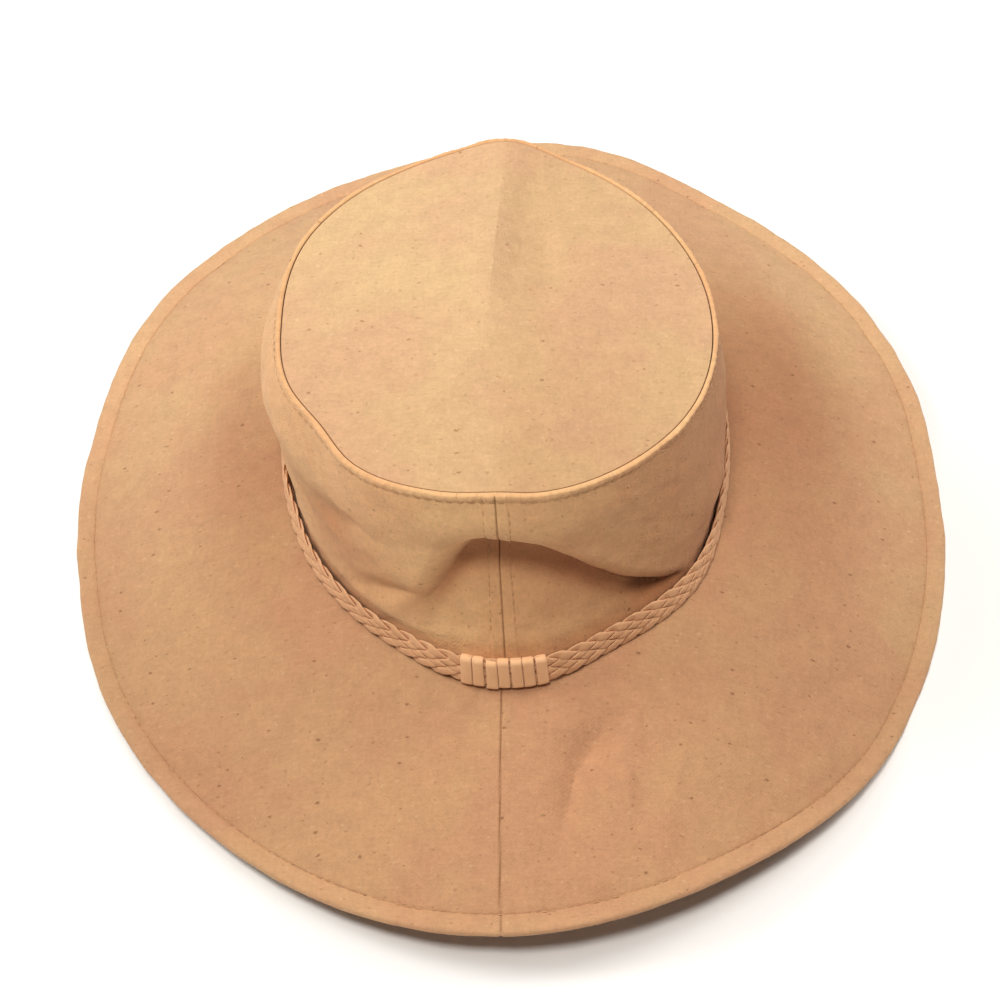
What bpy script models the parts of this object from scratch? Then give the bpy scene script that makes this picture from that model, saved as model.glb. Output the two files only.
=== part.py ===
"""A floppy sun hat of heavy cotton, resting on a level surface.

An oval tip is sewn into a crown wall, which is sewn to a wide two-ply brim.  A flat leather plait lies
loosely round the foot of the crown, and a flat lace is wound round its joint at the front.

Bearings are degrees round the crown, seen from above: 0 is the front seam (-Y) and 90 is the +X side.
A rise runs from 0 at the foot of the crown wall to 1 at its top edge.  A reach runs from 0 at the head
opening to 1 at the rim of the brim.
"""

import bmesh
import bpy
import numpy as np

# Driving sizes, in metres
HEAD_WIDTH = 0.157
HEAD_LENGTH = 0.200
CROWN_HEIGHT = 0.083
TIP_WIDTH = 0.150
TIP_LENGTH = 0.170
TIP_SHIFT_X = -0.0046
TIP_SHIFT_Y = -0.0083
TIP_DIP = 0.0063
TIP_DOME = 0.0050
BRIM_WIDTH = 0.097
BRIM_DROP = 0.0384
HEM_WIDTH = 0.008
CROWN_CLOTH = 0.0016
BRIM_CLOTH = 0.0026
ALLOWANCE_WIDTH = 0.008
SEAM_RIDGE = 0.0006
PLAIT_WIDTH = 0.0130
PLAIT_THICKNESS = 0.0028
LACE_WIDTH = 0.0036
LACE_THICKNESS = 0.0011
LACE_PITCH = 0.0040
LACE_TURNS = 7
CLEARANCE = 0.0003

# Middle surface of a plait that touches the wall all round, out from the head opening
PLAIT_SEAT = BRIM_CLOTH + CROWN_CLOTH + 2 * CLEARANCE + PLAIT_THICKNESS / 2

# Bearing of the front seam and of the middle of the wound lace
SEAM_BEARING = -1
# The brim falls as this power of the reach
BRIM_CURVE = 1.2
# The room for the wound lace fades out over this many degrees beyond the lace
LIFT_FADE = 14

# Divisions of the faceted surfaces
COLUMNS = 72
WALL_SHARES = (0, 0.1, 0.16, 0.24, 0.33, 0.43, 0.53, 0.62, 0.69, 0.77, 0.88, 1)
TIP_SHARES = (1, 0.95, 0.84, 0.70, 0.54, 0.36, 0.18, 0)
BRIM_SHARES = (0.82, 0.70, 0.55, 0.40, 0.26, 0.14, 0.06, 0)
END_STEPS = 3
OUTLINE_STEPS = 2 * END_STEPS + 2

# Bearing, and the head opening's swell out of its oval as a share of HEAD_WIDTH
HEAD_SWELLS = (
    (0, 0.013), (27, -0.017), (52, 0.002), (75, -0.016), (100, -0.014), (130, 0), (180, 0), (260, 0),
    (282, -0.006), (300, -0.004), (329, -0.010),
)
# Bearing, and the tip seam's swell out of its oval as a share of TIP_WIDTH
TIP_SWELLS = (
    (0, -0.016), (12, -0.006), (36, 0), (62, 0.009), (95, -0.002), (122, -0.008), (150, 0), (200, 0.008),
    (240, 0.008), (270, -0.010), (292, 0.005), (308, -0.002), (324, 0.021), (345, 0),
)
# Bearing, and the tip seam's lift as a share of CROWN_HEIGHT
TIP_LIFTS = ((0, 0), (140, 0), (160, 0.022), (177, 0.090), (194, 0.030), (212, 0), (270, 0))
# Bearing, the rim's height above the table as a share of BRIM_DROP, and its extra width as a share of
# BRIM_WIDTH
RIM_SHARES = (
    (0, 0.46, -0.014), (17, 0.50, -0.010), (34, 0.32, 0.006), (57, 0, 0.020), (75, 0, 0.040),
    (95, 0, 0.036), (108, 0.14, 0.024), (122, 0.18, 0.004), (150, 0.11, 0), (172, 0.26, 0),
    (195, 0.10, 0), (216, 0.08, 0), (238, 0.14, 0), (260, 0, 0), (285, 0, 0), (305, 0.08, 0.006),
    (330, 0.20, 0.006),
)
# Folds of the wall: bearing, half width, rise, half rise, rise per degree, depth as a share of CROWN_HEIGHT
WALL_FOLDS = (
    (-90, 55, 0.72, 0.40, 0, 0.100),
    (-84, 26, 0.34, 0.24, 0, 0.045),
    (90, 60, 0.55, 0.45, 0, 0.030),
    (4, 52, 0.83, 0.18, 0, 0.030),
    (-47, 14, 0.52, 0.13, 0.004, -0.030),
    (-32, 14, 0.28, 0.12, 0.008, -0.028),
    (66, 18, 0.36, 0.20, 0, 0.034),
    (150, 26, 0.45, 0.22, 0.004, -0.045),
    (205, 30, 0.55, 0.25, -0.004, -0.040),
)
# The large dent: bearing, rise of its crease, depth as a share of CROWN_HEIGHT, and the rise over which it
# fades out above its crease and below it
DENT = (
    (0, 0.64, 0.152, 0.21, 0.61), (9, 0.61, 0.149, 0.20, 0.58), (18, 0.52, 0.136, 0.16, 0.50),
    (28, 0.37, 0.112, 0.13, 0.35), (36, 0.24, 0.098, 0.12, 0.22), (42, 0.17, 0.082, 0.10, 0.15),
    (47, 0.13, 0.046, 0.08, 0.11), (52, 0.12, 0, 0.07, 0.10), (180, 0.20, 0, 0.16, 0.20),
    (330, 0.22, 0, 0.12, 0.18), (336, 0.27, 0.020, 0.13, 0.22), (340, 0.34, 0.052, 0.18, 0.28),
    (344, 0.46, 0.098, 0.28, 0.40), (349, 0.59, 0.140, 0.24, 0.54), (354, 0.64, 0.152, 0.22, 0.60),
)
# How much the dent's crease is rounded, as a share of its height above or below
DENT_ROUNDING = 0.12
# Rise over which the dent, and the other folds of the wall, grow from none at its foot
DENT_HELD = 0.22
FOOT_HELD = 0.3
# Folds of the tip: x and y as shares of its half sizes, degrees turned from +Y towards +X,
# half length, half width on the -X side and on the +X side, and height, as shares of TIP_WIDTH
TIP_FOLDS = (
    (-0.01, 0.42, 4, 0.50, 0.30, 0.10, 0.030),
    (-0.19, -0.42, 26, 0.22, 0.16, 0.10, 0.014),
    (0.22, 0.30, 0, 0.28, 0.14, 0.22, -0.016),
    (-0.60, -0.45, 80, 0.10, 0.05, 0.05, -0.006),
)
# Ripples of the brim: bearing, half width, reach, half reach, height as a share of BRIM_DROP
BRIM_RIPPLES = (
    (14, 12, 0.45, 0.50, -0.055),
    (30, 14, 0.60, 0.40, 0.050),
    (52, 12, 0.75, 0.25, -0.050),
    (-118, 22, 0.60, 0.40, 0.040),
    (128, 20, 0.65, 0.35, 0.050),
    (164, 18, 0.55, 0.45, -0.060),
)
# Bearing, and how far the plait stands off its seat on the wall at its foot and at its top, as shares
# of PLAIT_THICKNESS
PLAIT_STANDS = (
    (0, 0.06, 0.04), (25, 0.35, 0.30), (45, 0.35, 0.24), (70, 0.32, 0.22), (100, 0.30, 0.24),
    (180, 0.25, 0.20), (262, 0.30, 0.20), (274, 0.40, 0.46), (284, 0.45, 0.46), (293, 0.45, 0.08),
    (303, 0.45, 0.44), (314, 0.48, 0.62), (326, 0.45, 0.58), (342, 0.30, 0.28),
)

COLLECTION = "floppy_hat"

# Name: colour, roughness
FINISHES = {
    "tan_cotton": ((0.62, 0.41, 0.23, 1), 0.9),
    "tan_leather": ((0.52, 0.31, 0.17, 1), 0.7),
}


def swell(t):
    """A rounded bump: 1 at t = 0, falling to 0 at t = -1 and t = 1."""
    return np.cos(np.pi / 2 * np.clip(t, -1, 1)) ** 2


def crest(t):
    """A sharp ridge: 1 at t = 0, falling to 0 at t = -1 and t = 1."""
    return (1 - np.clip(np.abs(t), 0, 1)) ** 2


def turn_between(bearing, other):
    """Degrees from the other bearing to this one, from -180 to 180."""
    return (bearing - other + 180) % 360 - 180


def around(rows, bearing, column=1):
    """A smooth closed curve through one column of rows that start with their bearings."""
    table = np.array(rows, dtype=float)
    stops = table[:, 0]
    values = table[:, column]
    before = np.searchsorted(stops, bearing % 360, side="right") - 1
    after = (before + 1) % len(stops)
    span = (stops[after] - stops[before]) % 360
    t = ((bearing - stops[before]) % 360) / span
    slopes = (np.roll(values, -1) - np.roll(values, 1)) / ((np.roll(stops, -1) - np.roll(stops, 1)) % 360)
    start = (2 * t**3 - 3 * t**2 + 1) * values[before] + (t**3 - 2 * t**2 + t) * span * slopes[before]
    end = (3 * t**2 - 2 * t**3) * values[after] + (t**3 - t**2) * span * slopes[after]
    return start + end


def outward(bearing):
    """Unit vector in plan, square to the head opening's oval."""
    turn = np.radians(bearing)
    across = np.sin(turn) / HEAD_WIDTH
    along = -np.cos(turn) / HEAD_LENGTH
    size = np.hypot(across, along)
    return np.stack([across / size, along / size], axis=-1)


def head_oval(bearing, out):
    """Plan of the head opening, moved out by a distance."""
    turn = np.radians(bearing)
    oval = np.stack([np.sin(turn) * HEAD_WIDTH / 2, -np.cos(turn) * HEAD_LENGTH / 2], axis=-1)
    moved = out + HEAD_WIDTH * around(HEAD_SWELLS, bearing)
    return oval + outward(bearing) * moved[..., None]


def tip_oval(bearing):
    """Plan of the seam between the tip and the wall."""
    turn = np.radians(bearing)
    oval = np.stack([np.sin(turn) * TIP_WIDTH / 2, -np.cos(turn) * TIP_LENGTH / 2], axis=-1)
    moved = CLEARANCE + TIP_WIDTH * around(TIP_SWELLS, bearing)
    return oval + (TIP_SHIFT_X, TIP_SHIFT_Y) + outward(bearing) * moved[..., None]


def dent(bearing, rise):
    """How far the large dent moves the wall in, deepest at its crease."""
    above = rise - around(DENT, bearing, 1)
    faded = above / np.where(above > 0, around(DENT, bearing, 3), around(DENT, bearing, 4))
    left = 1 - np.minimum(np.sqrt(faded**2 + DENT_ROUNDING**2) - DENT_ROUNDING, 1)
    depth = CROWN_HEIGHT * np.maximum(around(DENT, bearing, 2), 0)
    return (1 - swell(rise / DENT_HELD)) * depth * np.where(above > 0, left**2, left**1.15)


def wall_fold(bearing, rise):
    """How far the wall's folds and its dent move it out."""
    moved = np.zeros(np.broadcast(bearing, rise).shape)
    for middle, half_width, level, half_rise, slope, depth in WALL_FOLDS:
        turn = turn_between(bearing, middle)
        moved = moved + depth * swell(turn / half_width) * swell((rise - level - slope * turn) / half_rise)
    # The seam to the brim holds the foot of the wall to the head opening's oval
    loose = 1 - swell(rise / FOOT_HELD)
    return CROWN_HEIGHT * loose * moved - dent(bearing, rise)


def wall(bearing, rise, out=0):
    """Point on the inner face of the crown wall, moved out by a distance."""
    foot = head_oval(bearing, BRIM_CLOTH + CLEARANCE + 0 * bearing)
    plan = foot + (tip_oval(bearing) - foot) * rise[..., None]
    plan = plan + outward(bearing) * (wall_fold(bearing, rise) + out)[..., None]
    top_lift = CROWN_HEIGHT * np.maximum(around(TIP_LIFTS, bearing), 0)
    top_lift = top_lift + TIP_DIP * np.cos(np.radians(bearing))
    height = CROWN_HEIGHT - BRIM_CLOTH - CLEARANCE + top_lift
    level = BRIM_DROP + BRIM_CLOTH + CLEARANCE + height * rise
    return np.concatenate([plan, level[..., None]], axis=-1)


def tip_fold(x, y):
    """Height of the tip's creases and hollows at a point in plan."""
    height = np.zeros(np.shape(x))
    for x_share, y_share, turned, half_length, left, right, rise in TIP_FOLDS:
        turn = np.radians(turned)
        east = x - TIP_SHIFT_X - x_share * TIP_WIDTH / 2
        north = y - TIP_SHIFT_Y - y_share * TIP_LENGTH / 2
        along = (east * np.sin(turn) + north * np.cos(turn)) / (half_length * TIP_WIDTH)
        across = (east * np.cos(turn) - north * np.sin(turn)) / TIP_WIDTH
        across = np.where(across < 0, across / left, across / right)
        height = height + rise * TIP_WIDTH * swell(along) * crest(across)
    return height


def tip(bearing, share):
    """Point on the underside of the tip, from its middle (share 0) to its seam (share 1)."""
    seam = wall(bearing, np.ones(np.shape(bearing)), -CLEARANCE - CROWN_CLOTH)
    middle = np.array([TIP_SHIFT_X, TIP_SHIFT_Y, BRIM_DROP + CROWN_HEIGHT])
    point = middle + (seam - middle) * share[..., None]
    seam_lift = seam[..., 2] - middle[2] - TIP_DIP * np.cos(np.radians(bearing))
    dome = TIP_DOME * (1 - share**2) - seam_lift * (share - share**3)
    edge_fade = 1 - share**4
    point[..., 2] += dome + edge_fade * tip_fold(point[..., 0], point[..., 1]) - CROWN_CLOTH - SEAM_RIDGE
    return point


def brim(bearing, reach):
    """Point on the underside of the brim."""
    drop = BRIM_DROP * (1 - np.maximum(around(RIM_SHARES, bearing, 1), 0))
    width = BRIM_WIDTH * (1 + around(RIM_SHARES, bearing, 2))
    run = np.sqrt(width**2 - drop**2)
    fall = np.minimum(reach * BRIM_WIDTH / (BRIM_WIDTH - HEM_WIDTH), 1) ** BRIM_CURVE
    ripple = np.zeros(np.broadcast(bearing, reach).shape)
    for middle, half_width, place, half_reach, height in BRIM_RIPPLES:
        turn = turn_between(bearing, middle)
        ripple = ripple + height * swell(turn / half_width) * swell((reach - place) / half_reach)
    # No ripple reaches the hem, which lies level
    ripple = ripple * (1 - fall**4)
    plan = head_oval(bearing, 0 * bearing) + outward(bearing) * (run * reach)[..., None]
    level = BRIM_DROP - drop * fall + BRIM_DROP * ripple
    return np.concatenate([plan, level[..., None]], axis=-1)


def front_bearing(distance):
    """Bearing of a point on the plait, from its distance along the plait from the front."""
    return SEAM_BEARING + np.degrees(distance / (HEAD_WIDTH / 2 + PLAIT_SEAT))


def lace_room(bearing):
    """Room for the wound lace beside the plait, fading to none beyond it."""
    half_arc = front_bearing(LACE_PITCH * LACE_TURNS / 2 + LACE_WIDTH) - SEAM_BEARING
    beyond = (np.abs(turn_between(bearing, SEAM_BEARING)) - half_arc) / LIFT_FADE
    return (LACE_THICKNESS + CLEARANCE) * swell(np.maximum(beyond, 0))


def plait(bearing, up, out):
    """Point in the plait, up from its foot's middle line and out from its middle surface."""
    length = PLAIT_WIDTH - PLAIT_THICKNESS
    level = np.zeros(np.shape(bearing))
    wall_lean = wall(bearing, level + length / CROWN_HEIGHT) - wall(bearing, level)
    # The plait doesn't follow the large dent
    lean = np.sum(wall_lean[..., :2] * outward(bearing), axis=-1) + dent(bearing, level + length / CROWN_HEIGHT)
    room = PLAIT_SEAT + lace_room(bearing)
    foot_out = room + PLAIT_THICKNESS * around(PLAIT_STANDS, bearing, 1)
    top_out = room + PLAIT_THICKNESS * around(PLAIT_STANDS, bearing, 2) + lean
    tilt = np.arcsin((top_out - foot_out) / length)
    below = brim(bearing, foot_out / BRIM_WIDTH)[..., 2]
    slope = (brim(bearing, level)[..., 2] - below) / foot_out
    seat = BRIM_CLOTH + CLEARANCE + PLAIT_THICKNESS / 2 + lace_room(bearing)
    away = foot_out + up * np.sin(tilt) + out * np.cos(tilt)
    plan = head_oval(bearing, level) + outward(bearing) * away[..., None]
    height = below + seat * np.sqrt(1 + slope**2) + up * np.cos(tilt) - out * np.sin(tilt)
    return np.concatenate([plan, height[..., None]], axis=-1)


def plait_outline(step, out):
    """Up and out distances of a step round the plait's round-ended section, moved out by a distance."""
    share = step % OUTLINE_STEPS
    over_top = share <= END_STEPS
    angle = np.pi * np.where(over_top, share, share - 1) / END_STEPS
    level = np.where(over_top, PLAIT_WIDTH - PLAIT_THICKNESS, 0)
    radius = PLAIT_THICKNESS / 2 + out
    return level + radius * np.sin(angle), radius * np.cos(angle)


def plan_middle():
    """Middle of the hat's plan, between its extreme points on the rim."""
    bearings = np.arange(COLUMNS) * 360 / COLUMNS
    rim = brim(bearings, np.ones(COLUMNS))[:, :2]
    return (rim.min(axis=0) + rim.max(axis=0)) / 2


def bearings_and(shares):
    """Grids of the bearings of all columns, and of one share for each row."""
    bearings = np.append(np.arange(COLUMNS), 0) * 360 / COLUMNS
    grid = np.meshgrid(np.array(shares, dtype=float), bearings, indexing="ij")
    return grid[1], grid[0]


def bent_grid(name, rows, capped=False):
    """A mesh bent from a flat grid: rows of points, whose last point meets the first."""
    shape = bmesh.new()
    bmesh.ops.create_grid(shape, x_segments=rows.shape[1] - 1, y_segments=rows.shape[0] - 1, size=1)
    middle = np.append(plan_middle(), 0)
    for vertex, place in zip(shape.verts, rows.reshape(-1, 3) - middle):
        vertex.co = place
    bmesh.ops.remove_doubles(shape, verts=shape.verts, dist=0.00001)
    if capped:
        bmesh.ops.holes_fill(shape, edges=shape.edges)
        bmesh.ops.recalc_face_normals(shape, faces=shape.faces)
    mesh = bpy.data.meshes.new(name)
    shape.to_mesh(mesh)
    shape.free()
    mesh.shade_smooth()
    return mesh


def add_piece(name, mesh, finish, thickness=0):
    """An object of the hat; a sheet gets its thickness on its outer or upper side."""
    piece = bpy.data.objects.new(name, mesh)
    bpy.data.collections[COLLECTION].objects.link(piece)
    mesh.materials.append(bpy.data.materials[finish])
    if thickness:
        solid = piece.modifiers.new("cloth", "SOLIDIFY")
        solid.thickness = thickness
        solid.offset = 1
        solid.use_even_offset = True
    return piece


def add_finish(name, colour, roughness):
    """A plain material."""
    finish = bpy.data.materials.new(name)
    finish.use_nodes = True
    shader = finish.node_tree.nodes["Principled BSDF"]
    shader.inputs["Base Color"].default_value = colour
    shader.inputs["Roughness"].default_value = roughness
    shader.inputs["Metallic"].default_value = 0


def add_crown_wall():
    """The side panel of the crown, seamed at the front."""
    bearings, rises = bearings_and(WALL_SHARES)
    add_piece("crown_wall", bent_grid("crown_wall", wall(bearings, rises)), "tan_cotton", CROWN_CLOTH)


def add_crown_tip():
    """The top panel, with its allowance turned down inside the wall."""
    bearings, shares = bearings_and(TIP_SHARES)
    inside = -CLEARANCE - CROWN_CLOTH
    allowance_edge = wall(bearings[:1], 0 * bearings[:1] + 1 - ALLOWANCE_WIDTH / CROWN_HEIGHT, inside)
    rows = np.concatenate([allowance_edge, tip(bearings, shares)])
    add_piece("crown_tip", bent_grid("crown_tip", rows), "tan_cotton", CROWN_CLOTH)


def add_brim():
    """The two-ply brim, with its allowance turned up inside the wall round the head opening."""
    bearings, reaches = bearings_and((1, 1 - HEM_WIDTH / BRIM_WIDTH) + BRIM_SHARES)
    inside = -CLEARANCE - BRIM_CLOTH
    allowance_edge = wall(bearings[:1], 0 * bearings[:1] + ALLOWANCE_WIDTH / CROWN_HEIGHT, inside)
    rows = np.concatenate([brim(bearings, reaches), allowance_edge])
    add_piece("brim", bent_grid("brim", rows), "tan_cotton", BRIM_CLOTH)


def add_plait_band():
    """The flat plait round the foot of the crown, one closed band with rounded edges."""
    bearings, steps = bearings_and(range(OUTLINE_STEPS + 1))
    up, out = plait_outline(steps, 0)
    add_piece("plait_band", bent_grid("plait_band", plait(bearings, up, out)), "tan_leather")


def add_keeper_lace():
    """The flat lace, wound round the plait's joint at the front in a close helix."""
    steps = np.arange(LACE_TURNS * OUTLINE_STEPS + 1)
    along = LACE_PITCH * (steps / OUTLINE_STEPS - LACE_TURNS / 2)
    corners = ((-0.5, 0), (0.5, 0), (0.5, 1), (-0.5, 1), (-0.5, 0))
    columns = []
    for aside, outer in corners:
        up, out = plait_outline(steps, CLEARANCE + LACE_THICKNESS * outer)
        columns.append(plait(front_bearing(along + LACE_WIDTH * aside), up, out))
    rows = np.stack(columns, axis=1)
    add_piece("keeper_lace", bent_grid("keeper_lace", rows, capped=True), "tan_leather")


def main():
    for item in list(bpy.data.objects):
        bpy.data.objects.remove(item)
    bpy.context.scene.collection.children.link(bpy.data.collections.new(COLLECTION))
    for name, (colour, roughness) in FINISHES.items():
        add_finish(name, colour, roughness)
    add_crown_wall()
    add_crown_tip()
    add_brim()
    add_plait_band()
    add_keeper_lace()


main()
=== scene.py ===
"""Looks of a floppy sun hat of heavy cotton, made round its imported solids.

Bearings are degrees round the crown, seen from above: 0 is the front seam (-Y) and 90 is the +X side.
A rise runs from 0 at the foot of the crown wall to 1 at its top edge.  A reach runs from 0 at the head
opening to 1 at the rim of the brim.  Lengths are in metres.
"""

import bpy
import numpy as np
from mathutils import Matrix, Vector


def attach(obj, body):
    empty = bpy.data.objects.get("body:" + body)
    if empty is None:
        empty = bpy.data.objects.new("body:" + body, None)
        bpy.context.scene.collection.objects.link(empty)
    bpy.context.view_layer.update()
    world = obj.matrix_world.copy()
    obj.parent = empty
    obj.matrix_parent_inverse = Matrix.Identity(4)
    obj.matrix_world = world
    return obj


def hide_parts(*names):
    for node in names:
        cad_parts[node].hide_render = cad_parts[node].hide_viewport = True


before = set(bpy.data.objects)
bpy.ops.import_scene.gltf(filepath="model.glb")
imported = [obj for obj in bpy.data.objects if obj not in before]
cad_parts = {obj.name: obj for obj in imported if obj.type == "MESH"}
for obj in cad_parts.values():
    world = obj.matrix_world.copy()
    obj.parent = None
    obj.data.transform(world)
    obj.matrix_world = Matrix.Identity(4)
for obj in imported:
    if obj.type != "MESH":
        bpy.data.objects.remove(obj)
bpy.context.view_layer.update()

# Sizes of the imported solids
HEAD_WIDTH = 0.157
HEAD_LENGTH = 0.200
CROWN_HEIGHT = 0.083
TIP_WIDTH = 0.150
TIP_LENGTH = 0.170
TIP_SHIFT_X = -0.0046
TIP_SHIFT_Y = -0.0083
TIP_DIP = 0.0063
TIP_DOME = 0.0050
BRIM_WIDTH = 0.097
BRIM_DROP = 0.0384
HEM_WIDTH = 0.008
CROWN_CLOTH = 0.0016
BRIM_CLOTH = 0.0026
ALLOWANCE_WIDTH = 0.008
PLAIT_WIDTH = 0.0130
PLAIT_THICKNESS = 0.0028
LACE_THICKNESS = 0.0011
LACE_WIDTH = 0.0036
LACE_PITCH = 0.0040
LACE_TURNS = 7
CLEARANCE = 0.0003
PLAIT_SEAT = BRIM_CLOTH + CROWN_CLOTH + 2 * CLEARANCE + PLAIT_THICKNESS / 2
SEAM_BEARING = -1
BRIM_CURVE = 1.2
LIFT_FADE = 14
CAD_COLUMNS = 72
FOOT_HELD = 0.3
DENT_HELD = 0.22
DENT_ROUNDING = 0.12

# Bearing, and the head opening's swell out of its oval as a share of HEAD_WIDTH
HEAD_SWELLS = (
    (0, 0.013), (27, -0.017), (52, 0.002), (75, -0.016), (100, -0.014), (130, 0), (180, 0), (260, 0),
    (282, -0.006), (300, -0.004), (329, -0.010),
)
# Bearing, and the tip seam's swell out of its oval as a share of TIP_WIDTH
TIP_SWELLS = (
    (0, -0.016), (12, -0.006), (36, 0), (62, 0.009), (95, -0.002), (122, -0.008), (150, 0), (200, 0.008),
    (240, 0.008), (270, -0.010), (292, 0.005), (308, -0.002), (324, 0.021), (345, 0),
)
# Bearing, and the tip seam's lift as a share of CROWN_HEIGHT
TIP_LIFTS = ((0, 0), (140, 0), (160, 0.022), (177, 0.090), (194, 0.030), (212, 0), (270, 0))
# Bearing, the rim's height above the table as a share of BRIM_DROP, and its extra width as a share of
# BRIM_WIDTH
RIM_SHARES = (
    (0, 0.46, -0.014), (17, 0.50, -0.010), (34, 0.32, 0.006), (57, 0, 0.020), (75, 0, 0.040),
    (95, 0, 0.036), (108, 0.14, 0.024), (122, 0.18, 0.004), (150, 0.11, 0), (172, 0.26, 0),
    (195, 0.10, 0), (216, 0.08, 0), (238, 0.14, 0), (260, 0, 0), (285, 0, 0), (305, 0.08, 0.006),
    (330, 0.20, 0.006),
)
# Folds of the wall: bearing, half width, rise, half rise, rise per degree, depth as a share of CROWN_HEIGHT
WALL_FOLDS = (
    (-90, 55, 0.72, 0.40, 0, 0.100),
    (-84, 26, 0.34, 0.24, 0, 0.045),
    (90, 60, 0.55, 0.45, 0, 0.030),
    (4, 52, 0.83, 0.18, 0, 0.030),
    (-47, 14, 0.52, 0.13, 0.004, -0.030),
    (-32, 14, 0.28, 0.12, 0.008, -0.028),
    (66, 18, 0.36, 0.20, 0, 0.034),
    (150, 26, 0.45, 0.22, 0.004, -0.045),
    (205, 30, 0.55, 0.25, -0.004, -0.040),
)
# The large dent: bearing, rise of its crease, depth as a share of CROWN_HEIGHT, and the rise over which it
# fades out above its crease and below it
DENT = (
    (0, 0.64, 0.152, 0.21, 0.61), (9, 0.61, 0.149, 0.20, 0.58), (18, 0.52, 0.136, 0.16, 0.50),
    (28, 0.37, 0.112, 0.13, 0.35), (36, 0.24, 0.098, 0.12, 0.22), (42, 0.17, 0.082, 0.10, 0.15),
    (47, 0.13, 0.046, 0.08, 0.11), (52, 0.12, 0, 0.07, 0.10), (180, 0.20, 0, 0.16, 0.20),
    (330, 0.22, 0, 0.12, 0.18), (336, 0.27, 0.020, 0.13, 0.22), (340, 0.34, 0.052, 0.18, 0.28),
    (344, 0.46, 0.098, 0.28, 0.40), (349, 0.59, 0.140, 0.24, 0.54), (354, 0.64, 0.152, 0.22, 0.60),
)
# Folds of the tip: x and y as shares of its half sizes, degrees turned from +Y towards +X,
# half length, half width on the -X side and on the +X side, and height, as shares of TIP_WIDTH
TIP_FOLDS = (
    (-0.01, 0.42, 4, 0.50, 0.30, 0.10, 0.030),
    (-0.19, -0.42, 26, 0.22, 0.16, 0.10, 0.014),
    (0.22, 0.30, 0, 0.28, 0.14, 0.22, -0.016),
    (-0.60, -0.45, 80, 0.10, 0.05, 0.05, -0.006),
)
# Ripples of the brim: bearing, half width, reach, half reach, height as a share of BRIM_DROP
BRIM_RIPPLES = (
    (14, 12, 0.45, 0.50, -0.055),
    (30, 14, 0.60, 0.40, 0.050),
    (52, 12, 0.75, 0.25, -0.050),
    (-118, 22, 0.60, 0.40, 0.040),
    (128, 20, 0.65, 0.35, 0.050),
    (164, 18, 0.55, 0.45, -0.060),
)
# Bearing, and how far the plait stands off its seat on the wall at its foot and at its top, as shares
# of PLAIT_THICKNESS
PLAIT_STANDS = (
    (0, 0.06, 0.04), (25, 0.35, 0.30), (45, 0.35, 0.24), (70, 0.32, 0.22), (100, 0.30, 0.24),
    (180, 0.25, 0.20), (262, 0.30, 0.16), (274, 0.40, 0.24), (284, 0.45, 0.34), (293, 0.45, 0.02),
    (303, 0.45, 0.34), (314, 0.48, 0.52), (326, 0.45, 0.46), (342, 0.30, 0.18),
)

# Creases of the wall: bearing, rise, degrees turned from level, half length, half width, height
WALL_CREASES = (
    (-40, 0.60, 2, 0.026, 0.0080, -0.0012),
    (-27, 0.33, 16, 0.012, 0.0055, -0.0012),
    (-62, 0.36, -30, 0.016, 0.0070, -0.0010),
    (-104, 0.50, 12, 0.022, 0.0080, -0.0010),
    (122, 0.62, -10, 0.024, 0.0080, -0.0010),
    (172, 0.44, 14, 0.022, 0.0080, -0.0011),
)
# Creases of the tip: x, y, degrees turned from +X towards +Y, half length, half width, height
TIP_CREASES = (
    (-0.045, -0.052, 8, 0.016, 0.0035, -0.0005),
    (-0.028, -0.060, 38, 0.012, 0.0030, -0.0005),
    (0.030, -0.030, -8, 0.020, 0.0045, -0.0005),
)

# Creases of the brim: x, y, degrees turned from +X towards +Y, half length, half width, height
BRIM_CREASES = (
    (0.030, -0.127, 60, 0.026, 0.0110, -0.0034),
    (0.021, -0.148, 80, 0.026, 0.0085, -0.0024),
    (0.040, -0.140, 98, 0.020, 0.0065, 0.0020),
    (0.050, -0.131, 104, 0.018, 0.0060, -0.0014),
    (0.012, -0.168, 84, 0.014, 0.0040, -0.0005),
    (-0.020, -0.160, 96, 0.022, 0.0060, -0.0004),
    (0.088, -0.092, 60, 0.024, 0.0090, -0.0006),
    (-0.098, -0.070, 118, 0.026, 0.0100, -0.0006),
)

# The wall's folded top edge: share of the way in from its outer side, and height over its last row
WALL_TOP = (
    (0.06, 0.00026), (0.20, 0.00048), (0.40, 0.00064), (0.62, 0.00071), (0.82, 0.00070), (0.94, 0.00060),
    (1.00, 0.00040),
)

# Columns and rows of the fine surfaces
COLUMNS = 760
SEAM_COLUMNS = 44
SEAM_HALF_TURN = 4.5
# Rows of the brim beside its rim: distances in from it
HEM_ROWS = (
    0, 0.001, 0.002, 0.003, 0.004, 0.005, 0.0057, 0.0062, 0.0066, 0.007, 0.0074, 0.008, 0.009, 0.0105,
)

# Seams and topstitching
WALL_RADIUS = HEAD_LENGTH / 2 - 0.006
SEAM_HALF_WIDTH = 0.00055
SEAM_DEPTH = 0.0006
TIP_EDGE_LIFT = 0.00045
TIP_CORNER = 0.00035
TIP_CORNER_ANGLES = (0, 0.5, 1.05, np.pi / 2)
WALL_STITCH_OFFSET = 0.0052
WALL_STRIP_RAISE = 0.00035
TIP_STITCH_DROP = 0.0025
STITCH_LENGTH = 0.0030
STITCH_GAP = 0.0006
THREAD_RADIUS = 0.00022
STITCH_SIDES = 6
STITCH_RINGS = 6
STITCH_SUNK = 0.00025
STITCH_PROUD = 0.00012

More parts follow.
